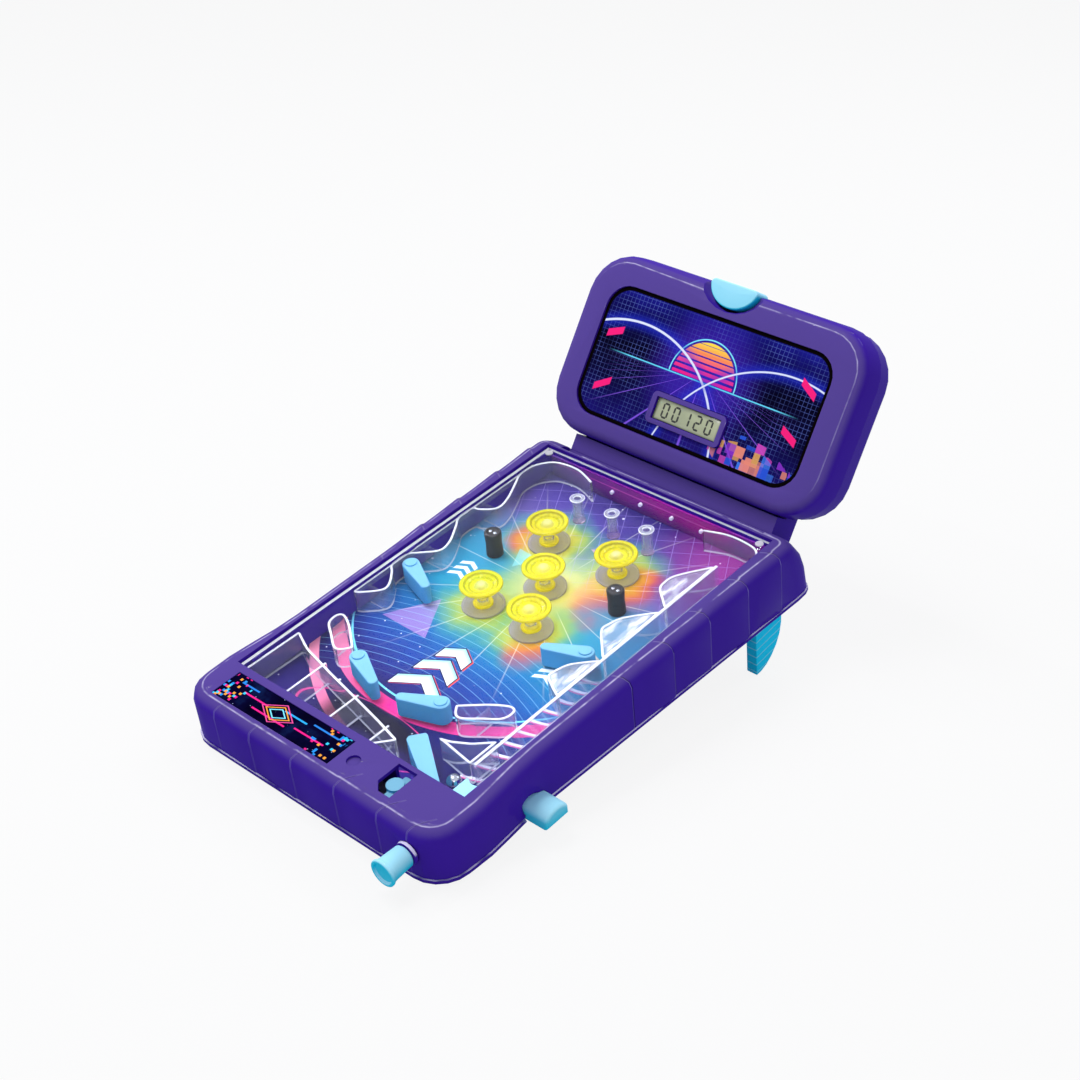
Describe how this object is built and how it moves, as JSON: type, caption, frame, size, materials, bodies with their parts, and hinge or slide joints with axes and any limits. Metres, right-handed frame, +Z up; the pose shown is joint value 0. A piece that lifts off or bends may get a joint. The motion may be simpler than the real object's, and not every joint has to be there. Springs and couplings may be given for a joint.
{
  "type": "tabletop pinball game",
  "caption": "Tabletop pinball game: clear-covered sloping playfield, side-button flippers, spring plunger, leaning score head and fold-out rear legs.",
  "frame": {"origin": "on the table top, under the middle of the game's box", "axes": "+X to the player's right, +Y from the player to the score head, +Z up"},
  "size_m": [0.256, 0.4578, 0.2295],
  "materials": {
    "purple_plastic": "glossy moulded purple plastic",
    "light_blue_plastic": "satin light blue plastic",
    "clear_plastic": "clear moulded plastic",
    "yellow_plastic": "translucent yellow plastic",
    "smoke_plastic": "smoky translucent plastic",
    "black_rubber": "matt black rubber",
    "bright_steel": "bright plated steel",
    "printed_playfield": "printed playfield sheet",
    "dark_print": "dark printed panel",
    "magenta_print": "magenta printed band",
    "display_glass": "grey-green display glass",
    "circuit_board_green": "solder-masked board",
    "black_plastic": "black plastic"
  },
  "bodies": {
    "case": {"upper_shell": "purple_plastic", "lower_shell": "purple_plastic", "playfield_deck": "printed_playfield", "clear_cover": "clear_plastic", "back_wall_band": "magenta_print", "left_side_rail": "clear_plastic", "right_corner_arch": "clear_plastic", "lane_divider": "clear_plastic", "left_apron": "clear_plastic", "right_apron": "clear_plastic", "left_slingshot": "clear_plastic", "right_slingshot": "clear_plastic", "plunger_bushing": "purple_plastic", "plunger_spring": "bright_steel", "bumper_base_1": "smoke_plastic", "bumper_cap_1": "yellow_plastic", "bumper_spring_1": "bright_steel", "bumper_base_2": "smoke_plastic", "bumper_cap_2": "yellow_plastic", "bumper_spring_2": "bright_steel", "bumper_base_3": "smoke_plastic", "bumper_cap_3": "yellow_plastic", "bumper_spring_3": "bright_steel", "bumper_base_4": "smoke_plastic", "bumper_cap_4": "yellow_plastic", "bumper_spring_4": "bright_steel", "bumper_base_5": "smoke_plastic", "bumper_cap_5": "yellow_plastic", "bumper_spring_5": "bright_steel", "clear_post_1": "clear_plastic", "clear_post_2": "clear_plastic", "clear_post_3": "clear_plastic", "rubber_post_1": "black_rubber", "rubber_post_2": "black_rubber", "front_label": "dark_print", "left_front_foot": "black_rubber", "right_front_foot": "black_rubber", "head_front_shell": "purple_plastic", "head_rear_shell": "purple_plastic", "backglass_panel": "dark_print", "score_display": "display_glass", "circuit_board": "circuit_board_green", "battery_door": "purple_plastic", "battery_door_screw": "bright_steel", "speaker": "black_plastic"},
    "left_button": {"left_flipper_button": "light_blue_plastic"},
    "right_button": {"right_flipper_button": "light_blue_plastic"},
    "lower_left_flipper": {"lower_left_flipper": "light_blue_plastic"},
    "lower_right_flipper": {"lower_right_flipper": "light_blue_plastic"},
    "upper_left_flipper": {"upper_left_flipper": "light_blue_plastic"},
    "upper_right_flipper": {"upper_right_flipper": "light_blue_plastic"},
    "plunger": {"plunger_knob": "light_blue_plastic", "plunger_rod": "bright_steel", "plunger_head": "light_blue_plastic"},
    "feed_lever": {"ball_feed_lever": "light_blue_plastic"},
    "ball": {"steel_ball": "bright_steel"},
    "left_leg": {"left_leg": "light_blue_plastic"},
    "right_leg": {"right_leg": "light_blue_plastic"},
    "head_button": {"head_button": "light_blue_plastic"},
    "power_switch": {"power_switch": "black_plastic"}
  },
  "joints": [
    {"name": "left_button_push", "type": "slide", "parent": "case", "child": "left_button", "axis": [1, 0, 0], "range_m": [0, 0.00569], "stiffness_N_per_m": 150, "springref_m": -0.003},
    {"name": "right_button_push", "type": "slide", "parent": "case", "child": "right_button", "axis": [-1, 0, 0], "range_m": [0, 0.00569], "stiffness_N_per_m": 150, "springref_m": -0.003},
    {"name": "lower_left_flipper_swing", "type": "hinge", "parent": "case", "child": "lower_left_flipper", "pos_m": [-0.049, -0.11516, 0.05292], "axis": [0, -0.1736, 0.9848], "range_deg": [0, 48]},
    {"name": "upper_left_flipper_swing", "type": "hinge", "parent": "case", "child": "upper_left_flipper", "pos_m": [-0.0903, -0.02753, 0.06837], "axis": [0, -0.1736, 0.9848], "range_deg": [0, 48]},
    {"name": "lower_right_flipper_swing", "type": "hinge", "parent": "case", "child": "lower_right_flipper", "pos_m": [0.025, -0.11516, 0.05292], "axis": [0, -0.1736, 0.9848], "range_deg": [-48, 0]},
    {"name": "upper_right_flipper_swing", "type": "hinge", "parent": "case", "child": "upper_right_flipper", "pos_m": [0.0663, -0.02753, 0.06837], "axis": [0, -0.1736, 0.9848], "range_deg": [-48, 0]},
    {"name": "plunger_pull", "type": "slide", "parent": "case", "child": "plunger", "axis": [0, -0.9848, -0.1736], "range_m": [0, 0.02], "stiffness_N_per_m": 150, "springref_m": -0.006, "deforming": ["plunger_spring"]},
    {"name": "feed_lever_swing", "type": "hinge", "parent": "case", "child": "feed_lever", "pos_m": [0.074, -0.1789, 0.04168], "axis": [0, -0.1736, 0.9848], "range_deg": [0, 12], "stiffness_Nm_per_rad": 0.03, "springref_deg": -17.19},
    {"name": "ball_roll", "type": "slide", "parent": "case", "child": "ball", "axis": [1, 0, 0], "range_m": [0, 0.006]},
    {"name": "left_leg_fold", "type": "hinge", "parent": "case", "child": "left_leg", "pos_m": [-0.0994, 0.10463, 0.04747], "axis": [1, 0, 0], "range_deg": [0, 90]},
    {"name": "right_leg_fold", "type": "hinge", "parent": "case", "child": "right_leg", "pos_m": [0.0994, 0.10463, 0.04747], "axis": [1, 0, 0], "range_deg": [0, 90]},
    {"name": "head_button_press", "type": "slide", "parent": "case", "child": "head_button", "axis": [0, -0.4617, -0.887], "range_m": [0, 0.0015], "stiffness_N_per_m": 300, "springref_m": -0.002},
    {"name": "power_switch_slide", "type": "slide", "parent": "case", "child": "power_switch", "axis": [1, 0, 0], "range_m": [0, 0.004]}
  ],
  "couplings": [
    {"joint": "lower_left_flipper_swing", "follows": "left_button_push", "rad_per_m": 147.13},
    {"joint": "upper_left_flipper_swing", "follows": "left_button_push", "rad_per_m": 147.13},
    {"joint": "lower_right_flipper_swing", "follows": "right_button_push", "rad_per_m": -147.13},
    {"joint": "upper_right_flipper_swing", "follows": "right_button_push", "rad_per_m": -147.13}
  ]
}
